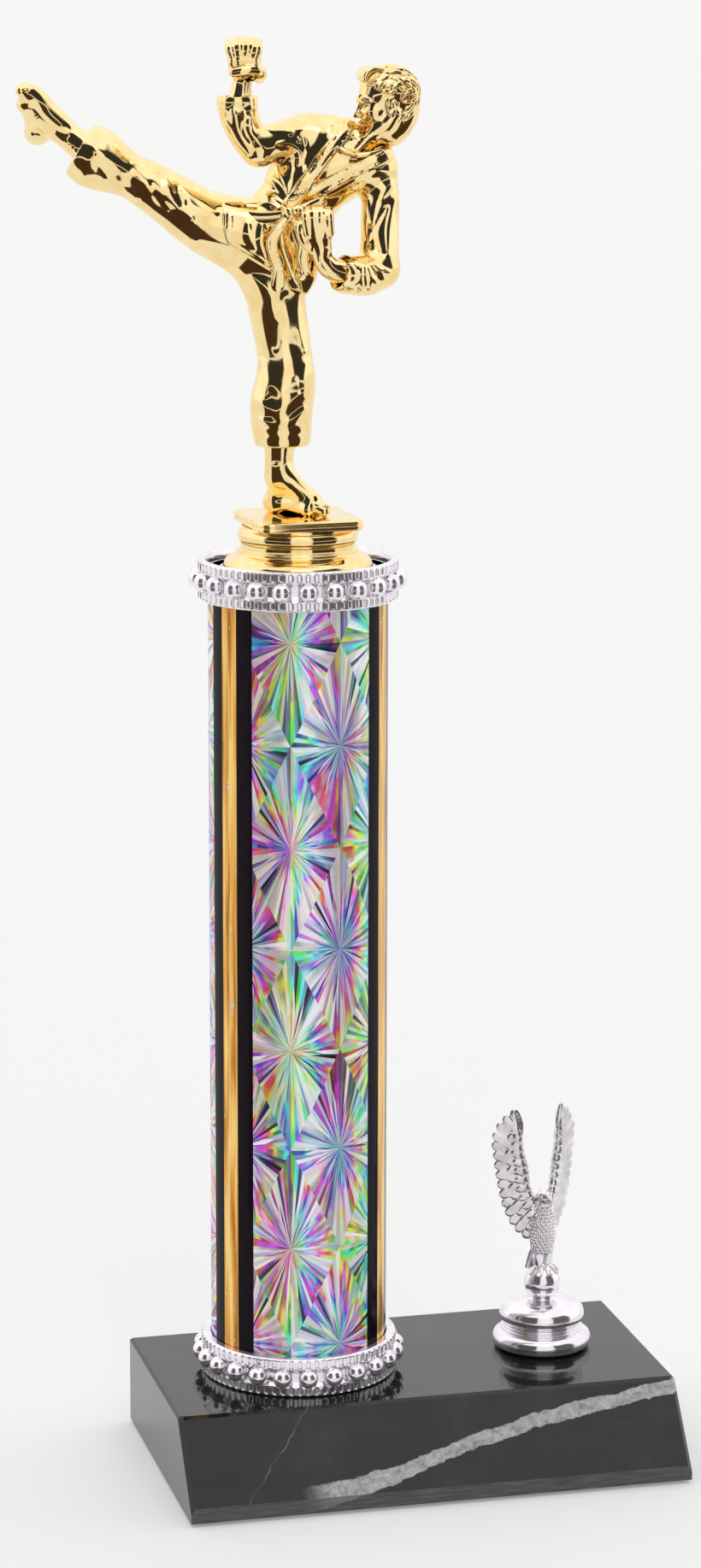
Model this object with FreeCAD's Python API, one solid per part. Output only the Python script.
"""Column trophy: marble base, foil-wrapped column between two beaded collars,
a gold karate figure on a round riser, and a small eagle trim beside the column.

Millimetres. +Z is up, the front of the trophy faces -Y, and the origin is the
centre of the felt's lower face, where the trophy stands."""
import FreeCAD, Part
import math
import os

V = FreeCAD.Vector
UP = V(0, 0, 1)
TURN_FULL = 360.0

# ---- driving dimensions ------------------------------------------------------
# felt and marble base
FELT_THICK = 1.0
FELT_INSET = 3.0
FELT_CORNER = 4.0
BASE_LENGTH = 147.0
BASE_DEPTH = 88.0
BASE_HEIGHT = 25.4
FRONT_LAND = 4.3            # upright saw-cut strip at the foot of the front
FRONT_SLANT = 17.0          # how far the front leans back above that strip
ARRIS = 0.8                 # polished chamfer round the top edge
CORNER_ARRIS = 1.2          # chamfer down the two slanted front corners
BORE_DEPTH = 8.0            # counterbores in the underside
ROD_BORE_R = 13.0
TRIM_BORE_R = 10.0
ROD_HOLE_R = 4.0
TRIM_HOLE_R = 3.5

# where things stand on the base
COLUMN_X = -30.3
COLUMN_Y = 8.5
TRIM_X = 43.8
TRIM_Y = 9.5

# column
TUBE_LENGTH = 228.6         # a nine inch column
TUBE_R = 25.0
TUBE_WALL = 1.4
FOIL_THICK = 0.4            # two inches across the foil
STAR_ANGLE = 81.3           # three star panels
BLACK_ANGLE = 12.4          # six black stripes
GOLD_ANGLE = 13.9           # three gold stripes
COLUMN_TURN = -93.0         # direction the front star panel faces
PANELS = 3

# collars, measured up from the edge that takes the column
COLLAR_HEIGHT = 11.4
SOCKET_DEPTH = 6.4
LEDGE_THICK = 1.0
DISC_THICK = 1.0
COLLAR_R = 28.3
COVE_R = 27.3
RECESS_R = 26.0
DISC_R = 25.7
LEDGE_R = 22.5
BEAD_COUNT = 24
BEAD_R = 2.55
BEAD_CIRCLE_R = 28.4
COLLAR_EDGE = 0.6
FIT_GAP = 0.1

# quarter inch fixings
ROD_R = 3.1
NUT_BORE_R = 3.15
NUT_FLATS = 11.1
NUT_HEIGHT = 5.6
BOLT_HEAD_HEIGHT = 4.0
CLEAR_R = 3.5
ROD_WASHER_R = 11.0
TRIM_WASHER_R = 8.5
WASHER_THICK = 1.5
ROD_END_GAP = 0.9           # from the felt to the lower end of the rod

# riser
RISER_HEIGHT = 12.1
RISER_WALL = 1.8
RISER_TOP_WALL = 2.0
HUB_R = 8.0
HUB_SHELF = 1.6
NUT_POCKET_GAP = 0.05
RIB_COUNT = 6
RIB_THICK = 1.2

# figure plate and the two screws that hold it
PLATE_X = 30.5
PLATE_Y = 32.5
PLATE_THICK = 3.0
PLATE_CORNER = 4.0
PLATE_TURN = 3.0
PLATE_EDGE = 0.7
SCREW_SPREAD = 11.2
SCREW_R = 1.1
SCREW_HEAD_R = 1.9
SCREW_HEAD_H = 1.4
SCREW_BITE = 2.2

# figure: its own frame is turned about the column, across / back / up
FIGURE_TURN = -14.0
JOINT_EASE = 0.97

# eagle trim
TRIM_R = 14.5
TRIM_BALL_R = 5.4
TRIM_BALL_UP = 19.3
TRIM_TURN = 14.0            # the eagle looks a little towards the +X end
WING_THICK = 2.4
WING_SWEEP = 23.0           # each wing's plane is swept back

# ---- heights worked out from those ---------------------------------------------
BASE_TOP = FELT_THICK + BASE_HEIGHT
LEDGE_LOWER = COLLAR_HEIGHT - SOCKET_DEPTH
TUBE_BOTTOM = BASE_TOP + LEDGE_LOWER
UPPER_COLLAR = TUBE_BOTTOM + TUBE_LENGTH - SOCKET_DEPTH
DISC_TOP = UPPER_COLLAR + SOCKET_DEPTH + LEDGE_THICK + DISC_THICK
LOWER_DISC = BASE_TOP + COLLAR_HEIGHT - SOCKET_DEPTH - LEDGE_THICK - DISC_THICK
RISER_TOP = DISC_TOP + RISER_HEIGHT
PLATE_TOP = RISER_TOP + PLATE_THICK
BORE_CEILING = FELT_THICK + BORE_DEPTH
COLUMN_FOOT = V(COLUMN_X, COLUMN_Y, 0)
TRIM_FOOT = V(TRIM_X, TRIM_Y, 0)


# ---- small helpers ----------------------------------------------------------------
def at(foot, height):
    """The point at a height above the foot of an upright axis."""
    return V(foot.x, foot.y, height)


def cylinder(radius, low, high, foot):
    return Part.makeCylinder(radius, high - low, at(foot, low), UP)


def ring(outer, inner, low, high, foot):
    return cylinder(outer, low, high, foot).cut(cylinder(inner, low - 1, high + 1, foot))


def revolve(profile, foot, low=0.0):
    """Turn a closed (radius, height) outline about an upright axis."""
    points = [V(radius, 0, height) for radius, height in profile]
    face = Part.Face(Part.makePolygon(points + points[:1]))
    solid = face.revolve(V(0, 0, 0), UP, TURN_FULL)
    solid.translate(at(foot, low))
    return solid


def hexagon(flats, low, high, foot):
    """An upright hexagonal prism, by its width across flats."""
    corner = flats / math.sqrt(3)
    points = [V(corner * math.cos(math.radians(a)), corner * math.sin(math.radians(a)), 0)
              for a in range(0, 360, 60)]
    face = Part.Face(Part.makePolygon(points + points[:1]))
    prism = face.extrude(V(0, 0, high - low))
    prism.translate(at(foot, low))
    return prism


def rounded_sheet(length, depth, corner, low, thick):
    """A flat sheet with rounded corners, centred on the origin."""
    block = Part.makeBox(length, depth, thick, V(-length / 2, -depth / 2, low))
    upright = [e for e in block.Edges if abs(e.tangentAt(e.FirstParameter).z) > 0.9]
    return block.makeFillet(corner, upright)


def hex_nut(low, foot):
    nut = hexagon(NUT_FLATS, low, low + NUT_HEIGHT, foot)
    blank = cylinder(NUT_FLATS / math.sqrt(3) * 0.97, low, low + NUT_HEIGHT, foot)
    return nut.common(blank).cut(cylinder(NUT_BORE_R, low - 1, low + NUT_HEIGHT + 1, foot))


def save(node, shape):
    """Write a node's STEP file, and read it back to see that its solids stay valid."""
    path = "parts/" + node + ".step"
    solids = shape.Solids
    shape = solids[0] if len(solids) == 1 else Part.makeCompound(solids)
    shape.exportStep(path)
    written = Part.Shape()
    written.read(path)
    if not all(solid.isValid() for solid in solids + written.Solids):
        raise RuntimeError(node + " has an invalid solid")
    print(node, len(solids), "solid(s)", round(shape.Volume, 1), "mm3")


# ---- base --------------------------------------------------------------------------
def base_felt():
    return rounded_sheet(BASE_LENGTH - 2 * FELT_INSET, BASE_DEPTH - 2 * FELT_INSET,
                         FELT_CORNER, 0, FELT_THICK)


def marble_base():
    """A block whose front leans back above a narrow upright strip."""
    front = -BASE_DEPTH / 2
    back = BASE_DEPTH / 2
    side = [V(0, front, FELT_THICK), V(0, back, FELT_THICK), V(0, back, BASE_TOP),
            V(0, front + FRONT_SLANT, BASE_TOP), V(0, front, FELT_THICK + FRONT_LAND)]
    block = Part.Face(Part.makePolygon(side + side[:1])).extrude(V(BASE_LENGTH, 0, 0))
    block.translate(V(-BASE_LENGTH / 2, 0, 0))
    corner_edges = [e for e in block.Edges
                    if abs(e.Vertexes[0].Point.z - e.Vertexes[1].Point.z) > 15
                    and abs(e.Vertexes[0].Point.y - e.Vertexes[1].Point.y) > 10]
    block = block.makeChamfer(CORNER_ARRIS, corner_edges)
    top_edges = [e for e in block.Edges
                 if all(abs(v.Point.z - BASE_TOP) < 1e-6 for v in e.Vertexes)]
    block = block.makeChamfer(ARRIS, top_edges)
    for foot, bore, hole in ((COLUMN_FOOT, ROD_BORE_R, ROD_HOLE_R),
                             (TRIM_FOOT, TRIM_BORE_R, TRIM_HOLE_R)):
        block = block.cut(cylinder(bore, FELT_THICK - 1, BORE_CEILING, foot))
        block = block.cut(cylinder(hole, FELT_THICK, BASE_TOP + 1, foot))
    return block


# ---- column ------------------------------------------------------------------------
def collar():
    """A collar with its column socket downwards: two bands with a cove and beads between."""
    middle = COLLAR_HEIGHT / 2
    outline = [(TUBE_R + FOIL_THICK + FIT_GAP, 0), (COLLAR_R - COLLAR_EDGE, 0),
               (COLLAR_R, COLLAR_EDGE), (COLLAR_R, middle - BEAD_R),
               (COVE_R, middle - BEAD_R / 2), (COVE_R, middle + BEAD_R / 2),
               (COLLAR_R, middle + BEAD_R), (COLLAR_R, COLLAR_HEIGHT - COLLAR_EDGE),
               (COLLAR_R - COLLAR_EDGE, COLLAR_HEIGHT), (RECESS_R, COLLAR_HEIGHT),
               (RECESS_R, SOCKET_DEPTH + LEDGE_THICK), (LEDGE_R, SOCKET_DEPTH + LEDGE_THICK),
               (LEDGE_R, SOCKET_DEPTH), (TUBE_R + FOIL_THICK + FIT_GAP, SOCKET_DEPTH)]
    body = revolve(outline, V(0, 0, 0))
    beads = []
    for index in range(BEAD_COUNT):
        turn = 2 * math.pi * index / BEAD_COUNT
        centre = V(BEAD_CIRCLE_R * math.cos(turn), BEAD_CIRCLE_R * math.sin(turn), middle)
        beads.append(Part.makeSphere(BEAD_R, centre))
    keep = ring(COLLAR_R + 2 * BEAD_R, RECESS_R + FIT_GAP, 0, COLLAR_HEIGHT, V(0, 0, 0))
    beads = [bead.common(keep) for bead in beads]
    return body.multiFuse(beads)


def upper_collar():
    shape = collar()
    shape.translate(at(COLUMN_FOOT, UPPER_COLLAR))
    return shape


def lower_collar():
    """The same collar turned over, so its socket is upwards."""
    shape = collar()
    shape.rotate(V(0, 0, COLLAR_HEIGHT / 2), V(1, 0, 0), TURN_FULL / 2)
    shape.translate(at(COLUMN_FOOT, BASE_TOP))
    return shape


def cap_disc(low):
    return ring(DISC_R, CLEAR_R, low, low + DISC_THICK, COLUMN_FOOT)


def column_tube():
    return ring(TUBE_R, TUBE_R - TUBE_WALL, TUBE_BOTTOM, TUBE_BOTTOM + TUBE_LENGTH, COLUMN_FOOT)


def foil_strip(centre_angle, width_angle):
    """One strip of foil on the tube, by the direction it faces and its width."""
    inner = TUBE_R
    outer = TUBE_R + FOIL_THICK
    section = Part.Face(Part.makePolygon([V(inner, 0, 0), V(outer, 0, 0),
                                          V(outer, 0, TUBE_LENGTH), V(inner, 0, TUBE_LENGTH),
                                          V(inner, 0, 0)]))
    strip = section.revolve(V(0, 0, 0), UP, width_angle)
    strip.rotate(V(0, 0, 0), UP, centre_angle - width_angle / 2)
    strip.translate(at(COLUMN_FOOT, TUBE_BOTTOM))
    return strip


def foil_strips():
    """Star panels with a black, gold, black group of stripes between each two."""
    stars, golds, blacks = [], [], []
    group = TURN_FULL / PANELS
    for index in range(PANELS):
        star_at = COLUMN_TURN + index * group
        gold_at = star_at + group / 2
        black_step = (GOLD_ANGLE + BLACK_ANGLE) / 2
        stars.append(foil_strip(star_at, STAR_ANGLE))
        golds.append(foil_strip(gold_at, GOLD_ANGLE))
        for side in (-1, 1):
            blacks.append(foil_strip(gold_at + side * black_step, BLACK_ANGLE))
    return (Part.makeCompound(stars), Part.makeCompound(golds), Part.makeCompound(blacks))


# ---- fixings -----------------------------------------------------------------------
RISER_NUT_LOW = DISC_TOP + HUB_SHELF
ROD_BOTTOM = FELT_THICK + ROD_END_GAP
ROD_TOP = RISER_NUT_LOW + NUT_HEIGHT
TRIM_NUT_LOW = BASE_TOP + 2.0


def threaded_rod():
    return cylinder(ROD_R, ROD_BOTTOM, ROD_TOP, COLUMN_FOOT)


def rod_washer():
    return ring(ROD_WASHER_R, CLEAR_R, BORE_CEILING - WASHER_THICK, BORE_CEILING, COLUMN_FOOT)


def rod_nut():
    return hex_nut(BORE_CEILING - WASHER_THICK - NUT_HEIGHT, COLUMN_FOOT)


def trim_washer():
    return ring(TRIM_WASHER_R, CLEAR_R, BORE_CEILING - WASHER_THICK, BORE_CEILING, TRIM_FOOT)


def trim_bolt():
    seat = BORE_CEILING - WASHER_THICK
    head = hexagon(NUT_FLATS, seat - BOLT_HEAD_HEIGHT, seat, TRIM_FOOT)
    return head.fuse(cylinder(ROD_R, seat, TRIM_NUT_LOW + NUT_HEIGHT, TRIM_FOOT))


def figure_screws():
    screws = []
    wall_low = RISER_TOP - RISER_TOP_WALL
    for side in (-1, 1):
        foot = V(COLUMN_X + side * SCREW_SPREAD, COLUMN_Y, 0)
        head = cylinder(SCREW_HEAD_R, wall_low - SCREW_HEAD_H, wall_low, foot)
        screws.append(head.fuse(cylinder(SCREW_R, wall_low, RISER_TOP + SCREW_BITE, foot)))
    return Part.makeCompound(screws)


# ---- riser -------------------------------------------------------------------------
def riser_base():
    """A hollow stepped cup with a hub that holds a hex nut over a shelf."""
    outer = [(0, 0), (21.05, 0), (21.05, 1.4), (20.5, 2.8), (18.4, 4.0), (16.8, 5.0),
             (16.8, 5.7), (16.1, 6.0), (16.1, 7.8), (16.95, 8.6), (17.1, 9.9),
             (16.7, 11.2), (15.9, 11.6), (15.9, RISER_HEIGHT), (0, RISER_HEIGHT)]
    cavity = [(HUB_R, -1), (19.0, -1), (19.0, 1.4), (16.2, 3.6), (14.2, 5.6),
              (14.2, RISER_HEIGHT - RISER_TOP_WALL), (HUB_R, RISER_HEIGHT - RISER_TOP_WALL)]
    body = revolve(outer, COLUMN_FOOT, DISC_TOP).cut(revolve(cavity, COLUMN_FOOT, DISC_TOP))
    for index in range(RIB_COUNT):
        rib = Part.makeBox(14.8 - HUB_R + 1, RIB_THICK, 3.0, V(HUB_R - 0.5, -RIB_THICK / 2, 0.6))
        rib.rotate(V(0, 0, 0), UP, TURN_FULL * (index + 0.5) / RIB_COUNT)
        rib.translate(at(COLUMN_FOOT, DISC_TOP))
        body = body.fuse(rib)
    pocket = hexagon(NUT_FLATS + 2 * NUT_POCKET_GAP, RISER_NUT_LOW, RISER_TOP + 1, COLUMN_FOOT)
    body = body.cut(pocket).cut(cylinder(CLEAR_R, DISC_TOP - 1, RISER_TOP, COLUMN_FOOT))
    for side in (-1, 1):
        foot = V(COLUMN_X + side * SCREW_SPREAD, COLUMN_Y, 0)
        body = body.cut(cylinder(SCREW_R + FIT_GAP, RISER_TOP - RISER_TOP_WALL - 1,
                                 RISER_TOP + 1, foot))
    return body


# ---- figure ------------------------------------------------------------------------
def body_point(across, back, up):
    """A point given across, back and up from the middle of the plate's top."""
    turn = math.radians(FIGURE_TURN)
    return V(COLUMN_X + across * math.cos(turn) - back * math.sin(turn),
             COLUMN_Y + across * math.sin(turn) + back * math.cos(turn), PLATE_TOP + up)


def limb(start, start_r, end, end_r):
    """A tapered limb with a round end at each joint, turned about its own axis."""
    low = body_point(*start)
    along = body_point(*end).sub(low)
    reach = along.Length
    slope = math.sqrt(0.5)
    outline = [Part.Arc(V(0, 0, -start_r), V(start_r * slope, 0, -start_r * slope),
                        V(start_r, 0, 0)).toShape(),
               Part.makeLine(V(start_r, 0, 0), V(end_r, 0, reach)),
               Part.Arc(V(end_r, 0, reach), V(end_r * slope, 0, reach + end_r * slope),
                        V(0, 0, reach + end_r)).toShape(),
               Part.makeLine(V(0, 0, reach + end_r), V(0, 0, -start_r))]
    shape = Part.Face(Part.Wire(outline)).revolve(V(0, 0, 0), UP, TURN_FULL)
    shape.Placement = FreeCAD.Placement(low, FreeCAD.Rotation(UP, along))
    return shape


def limbs(*joints):
    """A chain of limbs through (across, back, up, radius) joints.

    Each limb starts a little slimmer than the one before ends, so that no two
    round ends coincide."""
    chain = []
    for first, last in zip(joints, joints[1:]):
        chain.append(limb(first[:3], first[3] * JOINT_EASE, last[:3], last[3]))
    return chain


def figure_plate():
    plate = rounded_sheet(PLATE_X, PLATE_Y, PLATE_CORNER, RISER_TOP, PLATE_THICK)
    rims = [e for e in plate.Edges
            if all(abs(v.Point.z - PLATE_TOP) < 1e-6 for v in e.Vertexes)
            or all(abs(v.Point.z - RISER_TOP) < 1e-6 for v in e.Vertexes)]
    plate = plate.makeFillet(PLATE_EDGE, rims)
    plate.rotate(V(0, 0, 0), UP, PLATE_TURN)
    plate.translate(COLUMN_FOOT)
    return plate


def standing_leg():
    ankle = (-5.4, 0.5, 11.0, 4.1)
    ball_of_foot = (3.0, -0.8, 2.2, 2.6)
    trousers = limbs((-6.2, 0.5, 66.0, 8.6), (-5.0, 0.0, 56.0, 8.2), (-3.6, -1.0, 41.0, 7.3),
                     (-4.8, -1.0, 31.0, 7.6), (-5.0, -0.5, 23.0, 5.9))
    foot = limbs((-5.0, -0.5, 24.0, 4.4), ankle, (-6.4, 4.4, 2.9, 3.6), ball_of_foot,
                 (6.6, -2.4, 1.4, 2.4))
    return trousers + foot + limbs(ankle, ball_of_foot)


def kicking_leg():
    ankle = (-66.4, -4.0, 107.6, 3.5)
    ball_of_foot = (-74.3, -5.0, 116.2, 3.8)
    trousers = limbs((-13.5, -0.5, 77.0, 9.4), (-26.0, -2.0, 82.8, 7.7),
                     (-39.6, -3.0, 91.0, 6.5), (-46.5, -3.5, 94.6, 6.0),
                     (-54.4, -4.0, 99.0, 7.2))
    foot = limbs((-54.0, -4.0, 98.6, 4.4), ankle, (-71.0, -3.6, 108.6, 3.6), ball_of_foot,
                 (-74.8, -5.4, 119.2, 2.6))
    return trousers + foot + limbs(ankle, ball_of_foot)


def raised_arm():
    sleeve = limbs((0.5, 0.0, 104.5, 5.8), (-10.6, -8.0, 101.4, 4.8), (-15.8, -8.5, 113.0, 5.9))
    forearm = limbs((-15.4, -8.5, 112.0, 3.6), (-14.9, -9.0, 120.5, 3.0))
    fist = limbs((-14.6, -9.0, 124.0, 4.0), (-14.3, -9.0, 127.7, 5.2))
    return sleeve + forearm + fist


def bent_arm():
    sleeve = limbs((20.4, 0.0, 96.4, 6.2), (22.8, -6.5, 69.2, 5.6), (13.0, -12.5, 67.4, 5.2))
    forearm = limbs((13.6, -12.2, 67.6, 3.5), (8.6, -16.0, 75.5, 3.1), (6.2, -18.5, 81.5, 4.4))
    return sleeve + forearm


def trunk():
    """Hips and flanks, shoulders, neck and head, leaning to the right over the hips."""
    right_flank = limbs((-10.5, -0.5, 74.5, 8.3), (-5.0, -0.2, 86.0, 7.6), (2.2, -0.2, 101.0, 7.2))
    left_flank = limbs((-3.2, 0.4, 70.0, 8.5), (3.6, 0.3, 84.5, 7.4), (18.2, 0.3, 95.2, 7.0))
    shoulders = limbs((3.2, 0.1, 103.2, 6.6), (12.0, 0.2, 99.4, 7.4), (19.0, 0.1, 97.4, 6.8))
    head = limbs((15.0, 0.1, 102.5, 4.8), (20.2, 0.1, 109.4, 4.9), (21.8, 0.1, 110.8, 7.0),
                 (26.0, 0.1, 115.6, 8.4))
    return right_flank + left_flank + shoulders + head


def karate_figure():
    """A fighter in a high side kick, moulded in one with the square plate."""
    body = figure_plate()
    for piece in standing_leg() + trunk() + kicking_leg() + raised_arm() + bent_arm():
        body = body.fuse(piece)
    for side in (-1, 1):
        foot = V(COLUMN_X + side * SCREW_SPREAD, COLUMN_Y, 0)
        body = body.cut(cylinder(SCREW_R, RISER_TOP - 1, RISER_TOP + SCREW_BITE, foot))
    return body


# ---- eagle trim --------------------------------------------------------------------
def wing(side):
    """One raised wing: a thin blade, its outer edge curved, its tip up, swept back."""
    outer = [V(2.2, 0, 31.8), V(5.4, 0, 33.2), V(8.6, 0, 37.0), V(11.6, 0, 43.8),
             V(13.4, 0, 51.0), V(14.4, 0, 57.5), V(15.1, 0, 64.5), V(8.8, 0, 71.6)]
    inner = [V(8.8, 0, 71.6), V(7.5, 0, 65.0), V(6.6, 0, 59.5), V(5.4, 0, 54.0),
             V(5.2, 0, 48.0), V(2.2, 0, 41.5)]
    edge = Part.BSplineCurve()
    edge.interpolate(outer)
    back = Part.BSplineCurve()
    back.interpolate(inner)
    wire = Part.Wire([edge.toShape(), back.toShape(), Part.makeLine(inner[-1], outer[0])])
    blade = Part.Face(wire).extrude(V(0, WING_THICK, 0))
    blade.translate(V(0, -WING_THICK / 2, 0))
    blade.rotate(V(0, 0, 0), UP, WING_SWEEP)
    if side < 0:
        blade = blade.mirror(V(0, 0, 0), V(1, 0, 0))
    return blade


def eagle_trim():
    """Two-step round foot, ball and eagle with raised wings, moulded in one."""
    foot_outline = [(0, 0), (13.2, 0), (14.1, 0.8), (TRIM_R, 2.2), (14.2, 3.8), (13.0, 5.1),
                    (11.7, 5.9), (11.5, 6.9), (12.1, 8.2), (12.5, 10.2), (12.3, 12.0),
                    (11.0, 13.4), (8.6, 14.3), (5.6, 14.6), (4.2, 14.2), (0, 14.2)]
    foot = revolve(foot_outline, V(0, 0, 0))
    neck = Part.makeCone(4.4, 3.8, 2.6, V(0, 0, 13.6), UP)
    sphere = Part.makeSphere(TRIM_BALL_R, V(0, 0, TRIM_BALL_UP))
    tail = Part.makeCone(2.8, 3.7, 11.0, V(0, 0, 23.5), UP)
    chest = Part.makeCone(3.7, 2.2, 9.0, V(0, 0, 34.5), UP)
    head = Part.makeSphere(2.3, V(0, -0.6, 45.4))
    body = foot.multiFuse([neck, sphere, tail, chest, head, wing(1), wing(-1)])
    body.rotate(V(0, 0, 0), UP, TRIM_TURN)
    body.translate(at(TRIM_FOOT, BASE_TOP))
    pocket = hexagon(NUT_FLATS + 2 * NUT_POCKET_GAP, TRIM_NUT_LOW, TRIM_NUT_LOW + NUT_HEIGHT,
                     TRIM_FOOT)
    return body.cut(pocket).cut(cylinder(CLEAR_R, BASE_TOP - 1, TRIM_NUT_LOW + 1, TRIM_FOOT))


# ---- write every piece ---------------------------------------------------------------
os.makedirs("parts", exist_ok=True)
star_panels, gold_stripes, black_stripes = foil_strips()
save("base_felt", base_felt())
save("marble_base", marble_base())
save("rod_nut", rod_nut())
save("rod_washer", rod_washer())
save("threaded_rod", threaded_rod())
save("lower_collar", lower_collar())
save("lower_cap_disc", cap_disc(LOWER_DISC))
save("column_tube", column_tube())
save("foil_star_panels", star_panels)
save("foil_gold_stripes", gold_stripes)
save("foil_black_stripes", black_stripes)
save("upper_collar", upper_collar())
save("upper_cap_disc", cap_disc(DISC_TOP - DISC_THICK))
save("riser_base", riser_base())
save("riser_nut", hex_nut(RISER_NUT_LOW, COLUMN_FOOT))
save("figure_screws", figure_screws())
save("karate_figure", karate_figure())
save("trim_washer", trim_washer())
save("trim_bolt", trim_bolt())
save("trim_nut", hex_nut(TRIM_NUT_LOW, TRIM_FOOT))
save("eagle_trim", eagle_trim())
